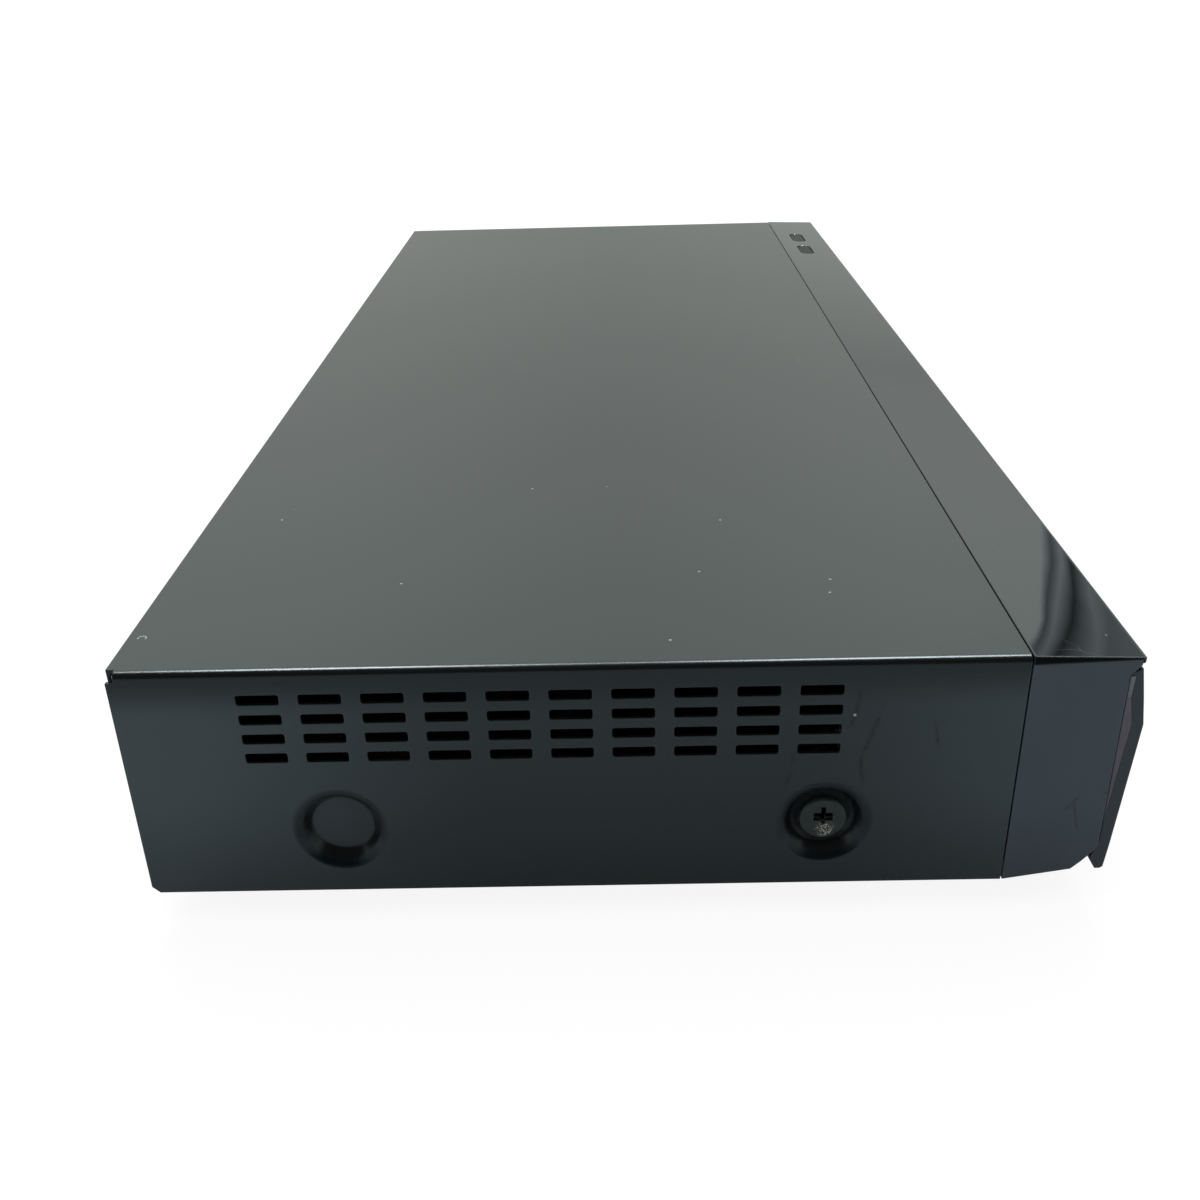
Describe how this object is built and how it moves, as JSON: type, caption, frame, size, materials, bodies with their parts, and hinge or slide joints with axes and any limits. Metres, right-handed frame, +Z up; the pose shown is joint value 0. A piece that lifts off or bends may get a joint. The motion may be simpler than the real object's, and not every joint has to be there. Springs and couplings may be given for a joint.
{
  "type": "disc recorder",
  "caption": "Low black disc recorder: folded steel cover with side vents, gloss strip with keys, drop-down flap, sliding disc tray, feet and rear sockets.",
  "frame": {"origin": "on the floor under the feet, at the centre of the overall box", "axes": "+X the user's right, -Y the front, +Z up"},
  "size_m": [0.43, 0.2026, 0.059],
  "materials": {
    "cover_paint": "satin black paint",
    "zinc_steel": "zinc plated sheet",
    "black_screw": "black plated",
    "bright_screw": "bright plated",
    "foot_plastic": "matt",
    "frame_plastic": "satin moulded",
    "gloss_strip": "high gloss",
    "door_plastic": "dark gloss",
    "smoked_plastic": "smoked",
    "catch_plastic": "smoked clear",
    "window_plastic": "smoked gloss",
    "display_glass": "dark glass",
    "board_green": "solder mask",
    "board_tan": "paper board",
    "chip_black": "moulded",
    "socket_metal": "nickel plated",
    "socket_black": "moulded",
    "fin_aluminium": "extruded",
    "jack_red": "moulded",
    "can_tin": "tinned",
    "thread_nickel": "nickel",
    "transformer_tape": "tape",
    "capacitor_sleeve": "sleeve",
    "drive_cast": "cast",
    "fan_plastic": "moulded",
    "loader_plastic": "moulded",
    "motor_steel": "drawn can",
    "gear_plastic": "acetal",
    "tray_plastic": "moulded",
    "polished_rod": "polished",
    "turntable_rubber": "rubber face",
    "lens_glass": "coated",
    "sled_metal": "die cast",
    "key_plastic": "gloss",
    "ribbon_white": "film",
    "cable_sleeve": "sleeve"
  },
  "bodies": {
    "housing": {"top_cover": "cover_paint", "bottom_chassis": "zinc_steel", "rear_panel": "zinc_steel", "feet": "foot_plastic", "cover_screws": "black_screw", "frame_screws": "bright_screw", "front_frame": "frame_plastic", "front_top_trim": "gloss_strip", "display_window": "window_plastic", "window_liner": "smoked_plastic", "display_tube": "display_glass", "display_board": "board_tan", "tact_switches": "chip_black", "button_board": "board_tan", "io_board": "board_green", "memory_card_socket": "socket_metal", "smart_card_socket": "socket_black", "usb_sockets": "socket_metal", "main_board": "board_green", "main_chips": "chip_black", "heat_sink": "fin_aluminium", "hdmi_socket": "socket_metal", "lan_socket": "socket_black", "av_jacks": "jack_red", "tuner_box": "can_tin", "antenna_connectors": "thread_nickel", "power_board": "board_tan", "transformer": "transformer_tape", "power_capacitors": "capacitor_sleeve", "power_heat_plates": "fin_aluminium", "ac_inlet": "socket_black", "hard_drive": "drive_cast", "drive_bracket": "zinc_steel", "fan_frame": "fan_plastic", "loader_base": "loader_plastic", "loader_cover": "zinc_steel", "loading_motor": "motor_steel", "ribbon_cable": "ribbon_white", "power_cable": "cable_sleeve"},
    "door": {"door_skin": "door_plastic", "door_liner": "smoked_plastic", "door_catches": "catch_plastic", "door_hinge_pins": "polished_rod"},
    "tray": {"disc_tray": "tray_plastic", "tray_fascia": "door_plastic", "fascia_liner": "smoked_plastic"},
    "tray_gear": {"tray_gear": "gear_plastic"},
    "motor_pinion": {"motor_pinion": "gear_plastic"},
    "traverse": {"traverse_plate": "zinc_steel", "guide_rods": "polished_rod", "spindle_motor": "motor_steel", "sled_motor": "motor_steel"},
    "turntable": {"turntable": "turntable_rubber"},
    "pickup": {"pickup_sled": "sled_metal", "pickup_lens": "lens_glass"},
    "lead_screw": {"lead_screw": "polished_rod"},
    "clamp": {"disc_clamp": "gear_plastic"},
    "fan": {"fan_rotor": "fan_plastic"},
    "power_key": {"power_button": "key_plastic"},
    "eject_key": {"eject_button": "key_plastic"}
  },
  "joints": [
    {"name": "door_hinge", "type": "hinge", "parent": "housing", "child": "door", "pos_m": [-0.15635, -0.09765, 0.0119], "axis": [1, 0, 0], "range_deg": [0, 90]},
    {"name": "tray_slide", "type": "slide", "parent": "housing", "child": "tray", "axis": [0, -1, 0], "range_m": [0, 0.138]},
    {"name": "tray_gear_spin", "type": "hinge", "parent": "housing", "child": "tray_gear", "pos_m": [0.0195, -0.07125, 0.0271], "axis": [0, 0, 1], "range_deg": [-914, 4]},
    {"name": "motor_pinion_spin", "type": "hinge", "parent": "housing", "child": "motor_pinion", "pos_m": [0.0045, -0.07125, 0.0271], "axis": [0, 0, 1], "range_deg": [-20, 3655]},
    {"name": "traverse_lift", "type": "hinge", "parent": "housing", "child": "traverse", "pos_m": [-0.027, 0.06775, 0.02005], "axis": [-1, 0, 0], "range_deg": [0, 4.9]},
    {"name": "spindle_spin", "type": "hinge", "parent": "traverse", "child": "turntable", "pos_m": [-0.027, -0.02425, 0.0261], "axis": [0, 0, 1], "continuous": true},
    {"name": "clamp_spin", "type": "hinge", "parent": "housing", "child": "clamp", "pos_m": [-0.027, -0.02425, 0.0396], "axis": [0, 0, 1], "continuous": true},
    {"name": "pickup_slide", "type": "slide", "parent": "traverse", "child": "pickup", "axis": [0, 1, 0], "range_m": [0, 0.032]},
    {"name": "lead_screw_spin", "type": "hinge", "parent": "traverse", "child": "lead_screw", "pos_m": [0.003, 0.01275, 0.024], "axis": [0, 1, 0], "range_deg": [-40, 3994]},
    {"name": "fan_spin", "type": "hinge", "parent": "housing", "child": "fan", "pos_m": [-0.074, 0.08725, 0.0348], "axis": [0, 1, 0], "continuous": true},
    {"name": "power_press", "type": "slide", "parent": "housing", "child": "power_key", "axis": [0, 0, -1], "range_m": [0, 0.0008], "stiffness_N_per_m": 400, "springref_m": -0.0002},
    {"name": "eject_press", "type": "slide", "parent": "housing", "child": "eject_key", "axis": [0, 0, -1], "range_m": [0, 0.0008], "stiffness_N_per_m": 400, "springref_m": -0.0002}
  ],
  "couplings": [
    {"joint": "tray_gear_spin", "follows": "tray_slide", "rad_per_m": -111.11},
    {"joint": "motor_pinion_spin", "follows": "tray_slide", "rad_per_m": 444.44},
    {"joint": "lead_screw_spin", "follows": "pickup_slide", "rad_per_m": 2094.4},
    {"joint": "clamp_spin", "follows": "spindle_spin", "ratio": 1}
  ]
}
